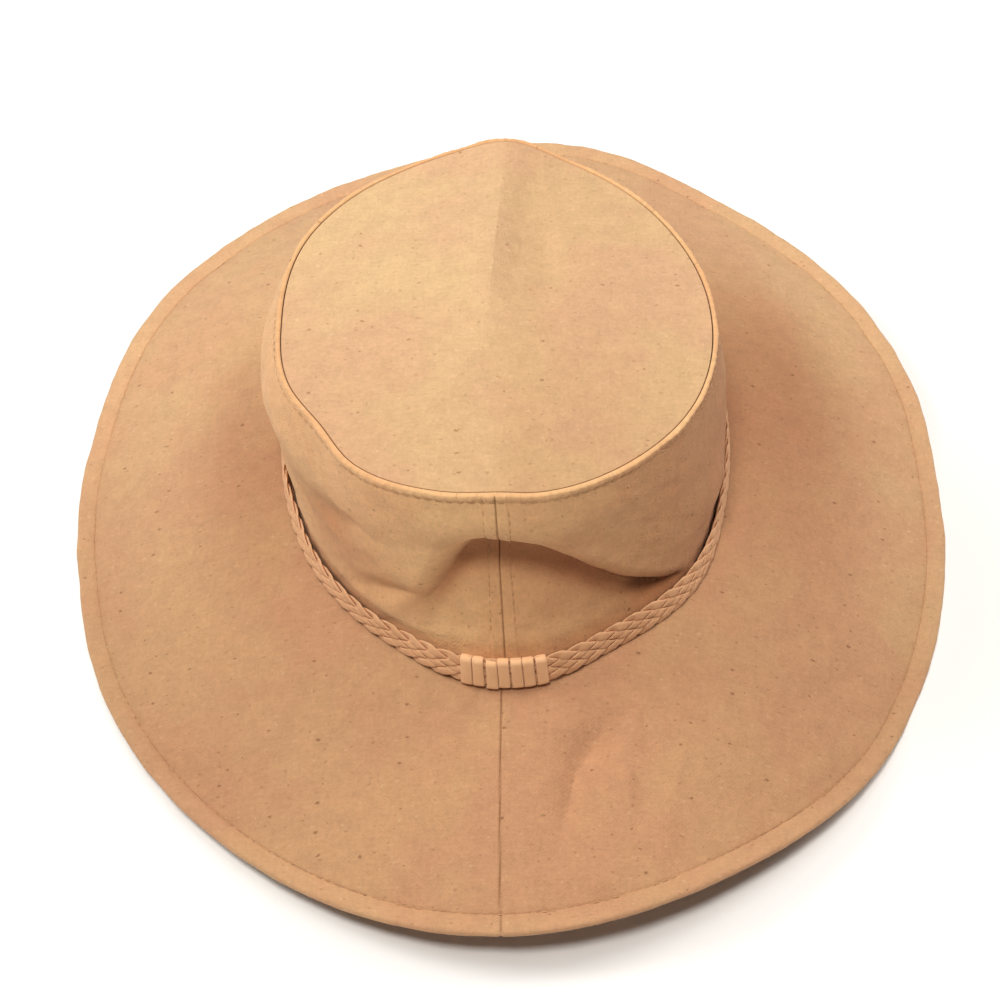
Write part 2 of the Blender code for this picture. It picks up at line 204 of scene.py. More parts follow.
# The plait of five strands
STRANDS = 5
PLAIT_PERIODS = 15
STRAND_WIDTH = 0.0035
STRAND_THICKNESS = 0.00080
STRAND_LIFT = 0.00050
PLAIT_PROUD = -0.0003
PLAIT_RAISED = 0.0007
STRAND_STEPS = 60
STRAND_SIDES = 14
STRAND_LEAN = 0.42
STRAND_CORNER = 0.965

# The wound lace, and how far each turn strays along the plait
WRAP_STEP = 0.00415
WRAP_WIDTH = 0.0038
WRAP_THICKNESS = 0.0007
WRAP_LIFT = 0.00045
WRAP_STEPS = 64
WRAP_SIDES = 12
WRAP_STRAYS = (0, 0.00010, -0.00012, 0.00022, -0.00006, 0.00010, -0.00010, 0.00012, 0, 0)

# Weave of the cotton
THREAD_PITCH = 0.00075

# Colour, its warmer tint, and the deep colour of flecks and of the shade painted along seams and in gaps
WALL_COLOURS = ((0.735, 0.44, 0.215, 1), (0.72, 0.40, 0.195, 1), (0.20, 0.09, 0.035, 1))
TIP_COLOURS = ((0.645, 0.435, 0.232, 1), (0.635, 0.395, 0.230, 1), (0.26, 0.12, 0.045, 1))
BRIM_COLOURS = ((0.620, 0.385, 0.205, 1), (0.61, 0.350, 0.195, 1), (0.20, 0.09, 0.035, 1))
PALE_FLECK = (0.92, 0.72, 0.47, 1)
WORN_COTTON = (0.90, 0.66, 0.42, 1)
# Colour multiplied in where shade is painted: in the dent, on the shaded sides of the wall and tip, towards
# the front, and on the brim beside the crown
PAINTED_SHADE = (0.62, 0.47, 0.42, 1)
# Colour and its deeper tint.  The plait's and the lace's colours are partly painted light: set paler to make
# up for the little light their upright faces get from above.
PLAIT_COLOURS = ((0.77, 0.425, 0.22, 1), (0.70, 0.37, 0.185, 1))
LACE_COLOURS = ((0.90, 0.53, 0.285, 1), (0.86, 0.485, 0.25, 1))
WORN_LEATHER = (0.72, 0.46, 0.28, 1)
THREAD_COLOUR = (0.58, 0.33, 0.16, 1)

CAMERA_PLACE = (-0.0042, -0.5952, 0.7758)
CAMERA_TURN = 52.2
CAMERA_ROLL = 0.32
CAMERA_LENS = 90.2177


def swell(t):
    """A rounded bump: 1 at t = 0, falling as a squared cosine to 0 at t = -1 and t = 1."""
    return np.cos(np.pi / 2 * np.clip(t, -1, 1)) ** 2


def crest(t):
    """A sharp ridge: the square of 1 minus the size of t, 0 beyond t = -1 and t = 1."""
    return (1 - np.clip(np.abs(t), 0, 1)) ** 2


def turn_between(bearing, other):
    """Degrees from the other bearing to this one, from -180 to 180."""
    return (bearing - other + 180) % 360 - 180


def around(rows, bearing, column=1):
    """A smooth closed curve (cubic Hermite) through one column of rows that start with their bearings."""
    table = np.array(rows, dtype=float)
    stops = table[:, 0]
    values = table[:, column]
    before = np.searchsorted(stops, bearing % 360, side="right") - 1
    after = (before + 1) % len(stops)
    span = (stops[after] - stops[before]) % 360
    t = ((bearing - stops[before]) % 360) / span
    slopes = (np.roll(values, -1) - np.roll(values, 1)) / ((np.roll(stops, -1) - np.roll(stops, 1)) % 360)
    start = (2 * t**3 - 3 * t**2 + 1) * values[before] + (t**3 - 2 * t**2 + t) * span * slopes[before]
    end = (3 * t**2 - 2 * t**3) * values[after] + (t**3 - t**2) * span * slopes[after]
    return start + end


def outward(bearing):
    """Unit vector in plan, square to the head opening's oval."""
    turn = np.radians(bearing)
    across = np.sin(turn) / HEAD_WIDTH
    along = -np.cos(turn) / HEAD_LENGTH
    size = np.hypot(across, along)
    return np.stack([across / size, along / size], axis=-1)


def head_oval(bearing, out):
    """Plan of the head opening: an ellipse with its swells, moved out by a distance."""
    turn = np.radians(bearing)
    oval = np.stack([np.sin(turn) * HEAD_WIDTH / 2, -np.cos(turn) * HEAD_LENGTH / 2], axis=-1)
    moved = out + HEAD_WIDTH * around(HEAD_SWELLS, bearing)
    return oval + outward(bearing) * moved[..., None]


def tip_oval(bearing):
    """Plan of the seam between the tip and the wall: a shifted ellipse with its swells."""
    turn = np.radians(bearing)
    oval = np.stack([np.sin(turn) * TIP_WIDTH / 2, -np.cos(turn) * TIP_LENGTH / 2], axis=-1)
    moved = CLEARANCE + TIP_WIDTH * around(TIP_SWELLS, bearing)
    return oval + (TIP_SHIFT_X, TIP_SHIFT_Y) + outward(bearing) * moved[..., None]


def creases(table, x, y):
    """Height of short creases at x, y: a rounded bump along each one, times a bump across it that is part
    rounded and part sharp."""
    height = np.zeros(np.broadcast(x, y).shape)
    for place_x, place_y, turned, half_length, half_width, rise in table:
        turn = np.radians(turned)
        along = ((x - place_x) * np.cos(turn) + (y - place_y) * np.sin(turn)) / half_length
        across = ((y - place_y) * np.cos(turn) - (x - place_x) * np.sin(turn)) / half_width
        height = height + rise * swell(along) * (0.4 * crest(across) + 0.6 * swell(across))
    return height


def wall_creases(bearing, rise):
    """The wall's short creases, each in its own flat pattern of arc length and height."""
    height = np.zeros(np.broadcast(bearing, rise).shape)
    for place, level, turned, half_length, half_width, deep in WALL_CREASES:
        x = np.radians(turn_between(bearing, place)) * HEAD_WIDTH / 2
        y = (rise - level) * CROWN_HEIGHT
        height = height + creases(((0, 0, turned, half_length, half_width, deep),), x, y)
    return height


def dent(bearing, rise):
    """How far the large dent moves the wall in.

    It is deepest at its crease.  Above, it fades as the square of what is left of its height, and below
    almost evenly; DENT_ROUNDING rounds the crease, and the foot of the wall is held in place.
    """
    above = rise - around(DENT, bearing, 1)
    faded = above / np.where(above > 0, around(DENT, bearing, 3), around(DENT, bearing, 4))
    left = 1 - np.minimum(np.sqrt(faded**2 + DENT_ROUNDING**2) - DENT_ROUNDING, 1)
    depth = CROWN_HEIGHT * np.maximum(around(DENT, bearing, 2), 0)
    return (1 - swell(rise / DENT_HELD)) * depth * np.where(above > 0, left**2, left**1.15)


def wall_fold(bearing, rise):
    """How far the wall's folds, creases and dent move it out."""
    moved = np.zeros(np.broadcast(bearing, rise).shape)
    for middle, half_width, level, half_rise, slope, depth in WALL_FOLDS:
        turn = turn_between(bearing, middle)
        moved = moved + depth * swell(turn / half_width) * swell((rise - level - slope * turn) / half_rise)
    loose = 1 - swell(rise / FOOT_HELD)
    return loose * (CROWN_HEIGHT * moved + wall_creases(bearing, rise)) - dent(bearing, rise)


def wall(bearing, rise, out=0):
    """Point on the inner face of the wall: from the foot's oval straight to the tip's, then moved out."""
    foot = head_oval(bearing, BRIM_CLOTH + CLEARANCE + 0 * bearing)
    plan = foot + (tip_oval(bearing) - foot) * rise[..., None]
    plan = plan + outward(bearing) * (wall_fold(bearing, rise) + out)[..., None]
    top_lift = CROWN_HEIGHT * np.maximum(around(TIP_LIFTS, bearing), 0)
    top_lift = top_lift + TIP_DIP * np.cos(np.radians(bearing))
    height = CROWN_HEIGHT - BRIM_CLOTH - CLEARANCE + top_lift
    level = BRIM_DROP + BRIM_CLOTH + CLEARANCE + height * rise
    return np.concatenate([plan, level[..., None]], axis=-1)


def tip_fold(x, y):
    """Height of the tip's creases and hollows at a point in plan."""
    height = creases(TIP_CREASES, x, y)
    for x_share, y_share, turned, half_length, left, right, rise in TIP_FOLDS:
        turn = np.radians(turned)
        east = x - TIP_SHIFT_X - x_share * TIP_WIDTH / 2
        north = y - TIP_SHIFT_Y - y_share * TIP_LENGTH / 2
        along = (east * np.sin(turn) + north * np.cos(turn)) / (half_length * TIP_WIDTH)
        across = (east * np.cos(turn) - north * np.sin(turn)) / TIP_WIDTH
        across = np.where(across < 0, across / left, across / right)
        height = height + rise * TIP_WIDTH * swell(along) * crest(across)
    return height


def tip(bearing, share):
    """Point on the underside of the tip: a straight line from its middle (share 0) to its seam (share 1),
    raised by a parabola of the share and by the folds, which fade out at the seam."""
    seam = wall(bearing, np.ones(np.shape(bearing)), -CLEARANCE - CROWN_CLOTH)
    middle = np.array([TIP_SHIFT_X, TIP_SHIFT_Y, BRIM_DROP + CROWN_HEIGHT])
    point = middle + (seam - middle) * share[..., None]
    seam_lift = seam[..., 2] - middle[2] - TIP_DIP * np.cos(np.radians(bearing))
    dome = TIP_DOME * (1 - share**2) - seam_lift * (share - share**3)
    edge_fade = 1 - share**4
    point[..., 2] += dome + edge_fade * tip_fold(point[..., 0], point[..., 1]) - CROWN_CLOTH
    return point


def brim(bearing, reach):
    """Point on the underside of the brim: out from the head opening, falling as a power of the reach."""
    drop = BRIM_DROP * (1 - np.maximum(around(RIM_SHARES, bearing, 1), 0))
    width = BRIM_WIDTH * (1 + around(RIM_SHARES, bearing, 2))
    run = np.sqrt(width**2 - drop**2)
    fall = np.minimum(reach * BRIM_WIDTH / (BRIM_WIDTH - HEM_WIDTH), 1) ** BRIM_CURVE
    ripple = np.zeros(np.broadcast(bearing, reach).shape)
    for middle, half_width, place, half_reach, height in BRIM_RIPPLES:
        turn = turn_between(bearing, middle)
        ripple = ripple + height * swell(turn / half_width) * swell((reach - place) / half_reach)
    ripple = ripple * (1 - fall**4)
    plan = head_oval(bearing, 0 * bearing) + outward(bearing) * (run * reach)[..., None]
    clear = (1 - fall**6) * (1 - swell(reach / 0.16))
    crease = clear * creases(BRIM_CREASES, plan[..., 0], plan[..., 1])
    level = BRIM_DROP - drop * fall + BRIM_DROP * ripple + crease
    return np.concatenate([plan, level[..., None]], axis=-1)


def front_bearing(distance):
    """Bearing of a point on the plait, from its distance along the plait from the front."""
    return SEAM_BEARING + np.degrees(distance / (HEAD_WIDTH / 2 + PLAIT_SEAT))


def lace_room(bearing):
    """Room for the wound lace beside the plait, fading to none beyond it."""
    half_arc = front_bearing(LACE_PITCH * LACE_TURNS / 2 + LACE_WIDTH) - SEAM_BEARING
    beyond = (np.abs(turn_between(bearing, SEAM_BEARING)) - half_arc) / LIFT_FADE
    return (LACE_THICKNESS + CLEARANCE) * swell(np.maximum(beyond, 0))


def plait(bearing, up, out):
    """Point in the plait, up from its foot's middle line and out from its middle surface."""
    length = PLAIT_WIDTH - PLAIT_THICKNESS
    level = np.zeros(np.shape(bearing))
    top = level + length / CROWN_HEIGHT
    wall_lean = wall(bearing, top) - wall(bearing, level)
    lean = np.sum(wall_lean[..., :2] * outward(bearing), axis=-1) + dent(bearing, top)
    room = PLAIT_SEAT + lace_room(bearing)
    foot_out = room + PLAIT_THICKNESS * around(PLAIT_STANDS, bearing, 1)
    top_out = room + PLAIT_THICKNESS * around(PLAIT_STANDS, bearing, 2) + lean
    tilt = np.arcsin((top_out - foot_out) / length)
    below = brim(bearing, foot_out / BRIM_WIDTH)[..., 2]
    slope = (brim(bearing, level)[..., 2] - below) / foot_out
    seat = BRIM_CLOTH + CLEARANCE + PLAIT_THICKNESS / 2 + lace_room(bearing)
    away = foot_out + up * np.sin(tilt) + out * np.cos(tilt)
    plan = head_oval(bearing, level) + outward(bearing) * away[..., None]
    height = below + seat * np.sqrt(1 + slope**2) + up * np.cos(tilt) - out * np.sin(tilt)
    return np.concatenate([plan, height[..., None]], axis=-1)


def plan_middle():
    """Middle of the hat's plan, between its extreme points on the rim."""
    bearings = np.arange(CAD_COLUMNS) * 360 / CAD_COLUMNS
    rim = brim(bearings, np.ones(CAD_COLUMNS))[:, :2]
    return np.append((rim.min(axis=0) + rim.max(axis=0)) / 2, 0)


def columns():
    """Bearings of the columns: even all round, and closer together beside the front seam."""
    fine = np.linspace(-SEAM_HALF_TURN, SEAM_HALF_TURN, SEAM_COLUMNS, endpoint=False)
    coarse = np.linspace(SEAM_HALF_TURN, 360 - SEAM_HALF_TURN, COLUMNS, endpoint=False)
    return SEAM_BEARING + np.concatenate([fine, coarse])


def grids(bearings, shares):
    """Grids of the bearings of all columns, and of one share for each row."""
    across, down = np.meshgrid(bearings, np.array(shares, dtype=float))
    return across, down


def facing(points):
    """Unit vectors square to a closed grid of points: the cross product of its columns' and rows' steps."""
    around_step = np.roll(points, -1, axis=1) - np.roll(points, 1, axis=1)
    row_step = np.gradient(points, axis=0)
    square = np.cross(around_step, row_step)
    return square / np.maximum(np.linalg.norm(square, axis=-1, keepdims=True), 1e-12)


def waves(points, length, seed):
    """Even unevenness: a quarter of the sum of ten sine waves in seeded directions, about a length long."""
    dice = np.random.default_rng(seed)
    total = np.zeros(points.shape[:-1])
    for _ in range(10):
        direction = dice.normal(size=3)
        direction = direction / np.linalg.norm(direction)
        wave_length = length * dice.uniform(0.7, 1.4)
        total = total + np.sin(2 * np.pi * (points @ direction) / wave_length + dice.uniform(0, 6.3))
    return total / 4


def edge_rows(first, second, beyond, steps):
    """Rows of a half circle from the first edge row to the second, bulging to where beyond points."""
    middle = (first + second) / 2
    half = np.linalg.norm(first - second, axis=-1, keepdims=True) / 2
    angles = np.pi * np.arange(1, steps) / steps
    return np.stack([middle + (first - middle) * np.cos(a) + beyond * half * np.sin(a) for a in angles])


def beyond_edge(rows):
    """Unit vectors from the last but one row of a grid to its last."""
    step = rows[-1] - rows[-2]
    return step / np.maximum(np.linalg.norm(step, axis=-1, keepdims=True), 1e-12)


def grid_faces(row_count, column_count, closed_rows):
    """Corner numbers of the quads of a grid that is closed round its columns."""
    rows = np.arange(row_count if closed_rows else row_count - 1)
    first = np.arange(column_count)
    second = (first + 1) % column_count
    below = rows[:, None] * column_count
    above = ((rows + 1) % row_count)[:, None] * column_count
    return np.stack([below + first, below + second, above + second, above + first], axis=-1).reshape(-1, 4)


def end_fans(row_count, column_count):
    """Triangles from a grid's first row and its last to the two poles that follow the grid's points."""
    first = np.arange(column_count)
    second = (first + 1) % column_count
    last = (row_count - 1) * column_count
    pole = np.full(column_count, row_count * column_count)
    start = np.stack([second, first, pole], axis=-1)
    end = np.stack([last + first, last + second, pole + 1], axis=-1)
    return np.concatenate([start, end])


def fill_mesh(name, points, quads, triangles=None):
    """A mesh from arrays of points, quads and triangles."""
    mesh = bpy.data.meshes.new(name)
    triangles = np.zeros((0, 3), dtype=int) if triangles is None else triangles
    corners = np.concatenate([quads.ravel(), triangles.ravel()])
    sizes = np.concatenate([np.full(len(quads), 4), np.full(len(triangles), 3)])
    mesh.vertices.add(len(points))
    mesh.vertices.foreach_set("co", points.astype(np.float32).ravel())
    mesh.loops.add(len(corners))
    mesh.loops.foreach_set("vertex_index", corners.astype(np.int32))
    mesh.polygons.add(len(sizes))
    mesh.polygons.foreach_set("loop_start", np.concatenate([[0], np.cumsum(sizes)[:-1]]).astype(np.int32))
    mesh.update(calc_edges=True)
    mesh.validate()
    mesh.shade_smooth()
    return mesh


def add_values(mesh, name, values):
    """One number for each point, which a material reads."""
    mesh.attributes.new(name, "FLOAT", "POINT").data.foreach_set("value", values.astype(np.float32).ravel())


def add_row_values(mesh, name, rings, values):
    """Numbers for the first rows of a mesh that is made of rings, and 0 for the others."""
    filled = np.zeros(rings.shape[:2])
    filled[: len(values)] = values
    add_values(mesh, name, filled)


def add_pattern(mesh, pattern):
    """A UV map in metres, from one pattern place for each corner of the mesh's faces."""
    mesh.uv_layers.new(name="weave").data.foreach_set("uv", pattern.astype(np.float32).ravel())


def add_piece(name, mesh, finish, replaced=()):
    """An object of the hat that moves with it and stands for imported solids."""
    piece = bpy.data.objects.new(name, mesh)
    bpy.context.scene.collection.objects.link(piece)
    mesh.materials.append(finish)
    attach(piece, "root")
    if replaced:
        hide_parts(*replaced)
    return piece


def seam_groove(distance):
    """Depth of a sewn seam's groove at a distance from it."""
    return SEAM_DEPTH * swell(distance / SEAM_HALF_WIDTH)


def front_distance(bearing, radius):
    """Distance from the front seam along a ring of this radius."""
    return np.radians(turn_between(bearing, SEAM_BEARING)) * radius


def wall_seam_shift(rise):
    """Degrees by which the wall's front seam wanders off its bearing."""
    return np.interp(rise, (0, 0.50, 0.75, 1), (0.6, 0.1, 1.0, 0.6))


def brim_seam_shift(reach):
    """Degrees by which the brim's front seam wanders off its bearing."""
    return 0.9 * reach - 0.5


def wall_skin(bearing, rise):
    """Extra thickness of the wall's outer side: seam groove, raised strips, stitch lines and tip ridge."""
    aside = np.abs(front_distance(bearing - wall_seam_shift(rise), WALL_RADIUS))
    strip = WALL_STRIP_RAISE * swell(np.maximum(aside - WALL_STITCH_OFFSET + 0.0006, 0) / 0.0012)
    line = 0.00028 * swell((aside - WALL_STITCH_OFFSET) / 0.0006)
    below = (1 - rise) * CROWN_HEIGHT
    front = 0.00018 + 0.00042 * swell(turn_between(bearing, 2) / 70)
    raised = swell((below - 0.0007) / 0.0019)
    pulled = 0.45 * swell((below - TIP_STITCH_DROP - 0.0002) / 0.0010)
    ridge = front * (raised - pulled)
    pucker = 0.00013 * np.sin(np.radians(bearing) * 150) * swell((below - 0.0012) / 0.0026)
    return strip - line - seam_groove(aside) + ridge + pucker


def front_painted_shade(points, share):
    """Share of painted shade: none at the back and left, growing to the front."""
    across = -0.15 * points[..., 0] - points[..., 1]
    return share * swell(np.clip((0.13 - across) / 0.18, 0, 1))


def crown_painted_shade(bearing, reach):
    """Share of painted shade on the brim beside the crown, where the crown shades it: a soft zone on each
    side.
    """
    right = 0.76 * swell(turn_between(bearing, 108) / 70) * swell(np.maximum(reach - 0.36, 0) / 0.50)
    left = 0.50 * swell(turn_between(bearing, -94) / 54) * swell(np.maximum(reach - 0.20, 0) / 0.42)
    return right + left


def make_crown_wall(finish):
    """The wall: an inner grid, an outer grid a cloth's thickness off it, and rounded edges between."""
    bearings = columns()
    rises = np.concatenate([np.linspace(0, 0.94, 78, endpoint=False), np.linspace(0.94, 1, 12)])
    turns, levels = grids(bearings, rises)
    inner = wall(turns, levels)
    normal = facing(inner)
    rough = 0.00010 * waves(inner, 0.006, 11) + 0.00018 * waves(inner, 0.014, 12)
    skin = wall_skin(turns, levels)
    outer = inner + normal * (CROWN_CLOTH + skin + rough)[..., None]
    inside = np.concatenate([inner[::4], inner[-1:]])
    top = np.stack([outer[-1] + (inside[-1] - outer[-1]) * across + (0, 0, up) for across, up in WALL_TOP])
    foot = edge_rows(inside[0], outer[0], beyond_edge(inner[::-1]), 4)
    rings = np.concatenate([outer, top, inside[::-1], foot])
    mesh = fill_mesh("crown_wall", (rings - plan_middle()).reshape(-1, 3), grid_faces(*rings.shape[:2], True))
    inside_levels = np.linspace(1, 0, len(inside))
    ring_levels = np.concatenate([rises, np.ones(len(top)), inside_levels, np.zeros(len(foot))])
    u = np.radians(np.append(bearings, bearings[0] + 360)) * HEAD_LENGTH / 2
    v = np.append(ring_levels, ring_levels[0]) * CROWN_HEIGHT
    add_pattern(mesh, corner_pattern(u, v))
    # Painted shade in the deep colour: along the front seam's groove, on the wall below the plait's top edge
    # where it lies in the gap behind the plait, and in the pinch at bearing 40
    aside = np.abs(front_distance(turns - wall_seam_shift(levels), WALL_RADIUS))
    painted_gap_shade = 0.95 * swell(np.maximum(levels - 0.070, 0) / 0.022)
    painted_pinch_shade = 0.60 * swell(turn_between(turns, 40) / 8) * swell((levels - 0.17) / 0.06)
    painted_groove_shade = np.maximum(swell(aside / SEAM_HALF_WIDTH), np.maximum(painted_gap_shade, painted_pinch_shade))
    add_row_values(mesh, "seam", rings, painted_groove_shade)
    add_row_values(mesh, "wear", rings, swell((1 - levels) * CROWN_HEIGHT / 0.0022))
    # Painted shade: in the dent below its crease, over the wall's right side, and low on its front left
    above = levels - around(DENT, turns, 1)
    painted_dent_shade = 1.5 * dent(turns, levels) / (0.16 * CROWN_HEIGHT) * swell((above + 0.03) / 0.20)
    right = 0.92 * swell(turn_between(turns, 68) / 84)
    left = 0.75 * swell(turn_between(turns, -50) / 32) * swell((levels - 0.44) / 0.38)
    add_row_values(mesh, "painted_shade", rings, np.minimum(painted_dent_shade + right + left, 1))
    return add_piece("crown_wall_cloth", mesh, finish, ["crown_wall"])


def corner_pattern(u, v):
    """Pattern places of a closed grid's corners, from a u for each column and a v for each row."""
    columns_u = np.stack([u[:-1], u[1:], u[1:], u[:-1]], axis=-1)
    rows_v = np.stack([v[:-1], v[:-1], v[1:], v[1:]], axis=-1)
    across = np.broadcast_to(columns_u[None], (len(v) - 1, len(u) - 1, 4))
    down = np.broadcast_to(rows_v[:, None], (len(v) - 1, len(u) - 1, 4))
    return np.stack([across, down], axis=-1)


def mesh_points(mesh):
    """The places of a mesh's points."""
    places = np.zeros(len(mesh.vertices) * 3, dtype=np.float32)
    mesh.vertices.foreach_get("co", places)
    return places.reshape(-1, 3)


def plan_pattern(mesh):
    """Pattern places from the plan of each corner's point."""
    corners = np.zeros(len(mesh.loops), dtype=np.int32)
    mesh.loops.foreach_get("vertex_index", corners)
    return mesh_points(mesh)[corners, :2]


def make_crown_tip(finish):
    """The tip: its underside, its top a cloth's thickness off it, and the allowance turned down inside."""
    bearings = columns()
    shares = np.concatenate([np.linspace(1, 0.93, 10, endpoint=False), np.linspace(0.93, 0.012, 66)])
    turns, steps = grids(bearings, shares)
    falls = np.linspace(1 - ALLOWANCE_WIDTH / CROWN_HEIGHT, 1, 6, endpoint=False)
    hem_turns, hem_levels = grids(bearings, falls)
    shortened = (CROWN_CLOTH * ((falls - falls[0]) / (1 - falls[0])))[:, None]
    hem = wall(hem_turns, hem_levels, -CLEARANCE - CROWN_CLOTH)
    hem[..., 2] -= shortened
    hem_outside = wall(hem_turns, hem_levels, -CLEARANCE)
    hem_outside[..., 2] -= shortened
    under = tip(turns, steps)
    from_seam = ((1 - shares) * TIP_WIDTH / 2)[:, None]
    rough = 0.00010 * waves(under, 0.006, 21) + 0.00022 * waves(under, 0.016, 22)
    pucker = 0.00010 * np.sin(np.radians(bearings) * 96) * np.exp(-from_seam / 0.004)
    back = swell(turn_between(bearings, 178) / 75)
    raised = TIP_EDGE_LIFT * np.exp(-from_seam / 0.006) * (1 + 1.4 * back)
    thickness = CROWN_CLOTH + raised + (rough + pucker) * np.minimum(from_seam / 0.003, 1)
    upper = under + (0, 0, 1) * thickness[..., None]
    seam = wall(bearings, np.ones(len(bearings)), -CLEARANCE)
    seam[:, 2] = upper[0, :, 2] - TIP_CORNER
    inward = np.concatenate([-outward(bearings), 0 * bearings[:, None]], axis=-1) * TIP_CORNER
    corner = np.stack([
        seam + inward * (1 - np.cos(a)) + (0, 0, TIP_CORNER * np.sin(a)) for a in TIP_CORNER_ANGLES
    ])
    outer = np.concatenate([hem_outside, corner, upper])
    inside = np.concatenate([hem[::2], under[::4]])
    hem_edge = edge_rows(inside[0], outer[0], beyond_edge(hem[::-1]), 4)
    rings = np.concatenate([inside[::-1], hem_edge, outer])
    poles = np.stack([rings[0].mean(axis=0), rings[-1].mean(axis=0)])
    points = np.concatenate([rings.reshape(-1, 3), poles]) - plan_middle()
    mesh = fill_mesh("crown_tip", points, grid_faces(*rings.shape[:2], False), end_fans(*rings.shape[:2]))
    add_pattern(mesh, plan_pattern(mesh))
    # Painted shade in the deep colour on the tip's edge where it turns down into the seam
    painted_groove_shade = np.zeros(rings.shape[:2])
    painted_groove_shade[len(rings) - len(outer):len(rings) - len(shares) - 2] = 1
    add_values(mesh, "seam", np.append(painted_groove_shade.ravel(), [0, 0]))
    add_values(mesh, "wear", np.zeros(len(points)))
    # Painted shade: growing towards the front, and on the right of the tip's long fold, the side that faces
    # away from the light
    x = points[:, 0]
    right = swell(np.maximum(0.004 - x, 0) / 0.016) * swell(np.maximum(x - 0.02, 0) / 0.09)
    add_values(mesh, "painted_shade", front_painted_shade(points, 0.34) + 0.20 * right)
    return add_piece("crown_tip_cloth", mesh, finish, ["crown_tip"])


def brim_skin(bearing, reach, radius):
    """Extra thickness of each side of the brim: hem, stitch ring and front seam."""
    inward = (1 - reach) * BRIM_WIDTH
    hem = 0.00022 * swell(np.maximum(inward - HEM_WIDTH * 0.55, 0) / (HEM_WIDTH * 0.45))
    ring = 0.00034 * swell((inward - HEM_WIDTH) / 0.0011)
    aside = np.abs(front_distance(bearing - brim_seam_shift(reach), radius))
    pressed = 0.00018 * swell(np.maximum(aside - 0.003, 0) / 0.003)
    return hem - ring + pressed - seam_groove(aside)


def make_brim(finish):
    """The brim: an underside, a top side two plies off it, a rounded rim and the collar in the crown."""
    bearings = columns()
    start = BRIM_CLOTH / 2 / BRIM_WIDTH
    near_rim = 1 - start - np.array(HEM_ROWS) / BRIM_WIDTH
    inner_start = 1 - start - 0.0123 / BRIM_WIDTH
    reaches = np.concatenate([near_rim, np.linspace(inner_start, 0, 46)])
    low_reaches = np.concatenate([near_rim, np.linspace(inner_start, 0, 16)])
    collar_rises = np.linspace(0, ALLOWANCE_WIDTH / CROWN_HEIGHT, 6)[1:]
    turns, steps = grids(bearings, reaches)
    low_turns, low_steps = grids(bearings, low_reaches)
    collar_turns, collar_levels = grids(bearings, collar_rises)
    collar = wall(collar_turns, collar_levels, -CLEARANCE - BRIM_CLOTH)
    under = np.concatenate([brim(turns, steps), collar])
    low = np.concatenate([brim(low_turns, low_steps), collar])
    rough = 0.00012 * waves(under, 0.007, 31) + 0.00030 * waves(under, 0.020, 32)
    radius = HEAD_LENGTH / 2 + BRIM_WIDTH * steps
    skin = np.concatenate([brim_skin(turns, steps, radius), np.zeros(collar.shape[:2])])
    fade = np.concatenate([np.minimum(steps / 0.1, 1), np.zeros(collar.shape[:2])])
    upper = under + facing(under) * (BRIM_CLOTH + skin + rough * fade)[..., None]
    low_radius = HEAD_LENGTH / 2 + BRIM_WIDTH * low_steps
    low_skin = np.concatenate([brim_skin(low_turns, low_steps, low_radius), np.zeros(collar.shape[:2])])
    lower = low - facing(low) * (np.maximum(low_skin, 0) * 0.3 + np.minimum(low_skin, 0))[..., None]
    lower[..., 2] = np.maximum(lower[..., 2], 0)
    top = edge_rows(upper[-1], lower[-1], beyond_edge(under), 4)
    rim = edge_rows(lower[0], upper[0], beyond_edge(under[::-1]), 8)
    rings = np.concatenate([upper, top, lower[::-1], rim])
    mesh = fill_mesh("brim", (rings - plan_middle()).reshape(-1, 3), grid_faces(*rings.shape[:2], True))
    add_pattern(mesh, plan_pattern(mesh))
    # Painted shade in the deep colour along the front seam's groove
    aside = np.abs(front_distance(turns - brim_seam_shift(steps), radius))
    add_row_values(mesh, "seam", rings, swell(aside / SEAM_HALF_WIDTH))
    worn = np.zeros(rings.shape[:2])
    worn[: len(reaches)] = swell(np.maximum((1 - steps) * BRIM_WIDTH - 0.004, 0) / 0.005)
    worn[-len(rim):] = 1
    add_values(mesh, "wear", worn)
    # Painted shade: growing towards the front and on each side beside the crown, a little less on the worn
    # rim
    painted_shade = front_painted_shade(rings - plan_middle(), 0.50)
    painted_shade[: len(reaches)] += crown_painted_shade(turns, steps)
    painted_shade = painted_shade * (1 - 0.12 * worn)
    add_values(mesh, "painted_shade", painted_shade)
    return add_piece("brim_cloth", mesh, finish, ["brim"])


